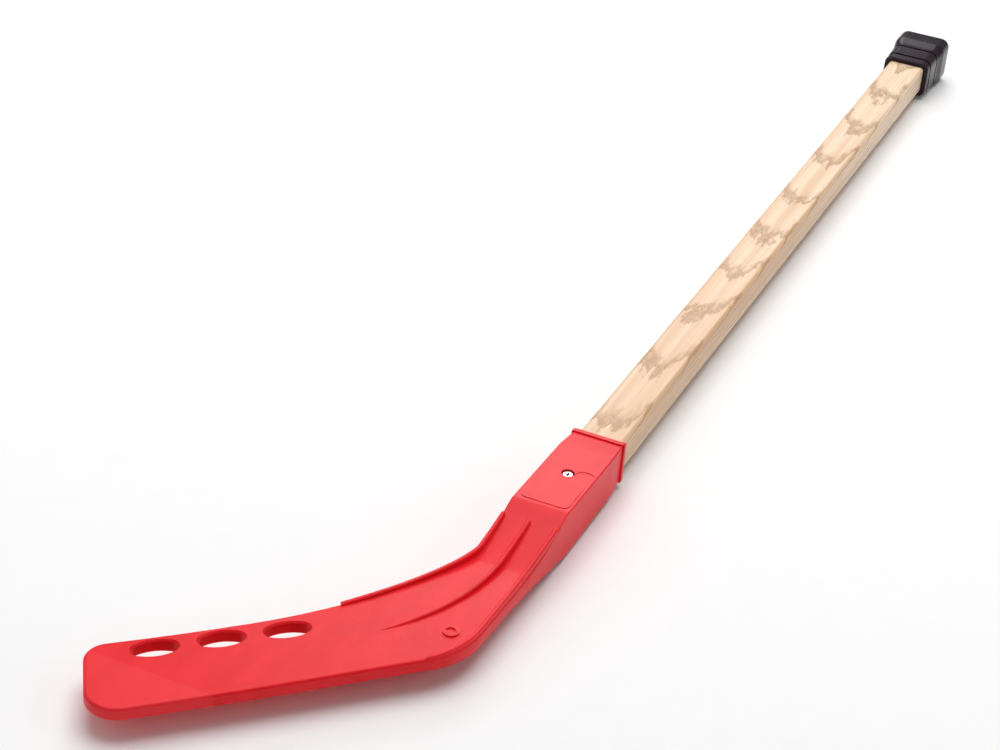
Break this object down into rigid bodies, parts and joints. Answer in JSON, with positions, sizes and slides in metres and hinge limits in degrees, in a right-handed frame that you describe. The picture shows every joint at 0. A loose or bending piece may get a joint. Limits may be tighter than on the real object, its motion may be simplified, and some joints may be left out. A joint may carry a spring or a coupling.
{
  "type": "street hockey stick",
  "caption": "Straight hockey stick with a flat moulded blade that has a socket and slots, a rectangular wooden shaft held by a screw, and a grooved rubber butt cap.",
  "frame": {"origin": "centre of the butt cap's flat end face", "axes": "+X along the shaft out of the butt end, so the blade lies towards -X; +Y towards the side that the toe of the blade points to; +Z normal to one blade face, and Z = 0 is the middle plane of the blade and shaft"},
  "size_m": [1.017, 0.1667, 0.0332],
  "materials": {
    "red_plastic": "bright red moulded plastic, half gloss, finely pebbled on the blade faces",
    "ash_wood": "pale ash with brown growth rings, thin clear varnish",
    "steel": "bright zinc-plated steel",
    "rubber": "smooth black moulded rubber with a soft shine"
  },
  "bodies": {
    "root": {"blade": "red_plastic", "shaft": "ash_wood", "blade_screw": "steel", "butt_cap": "rubber"}
  },
  "joints": []
}
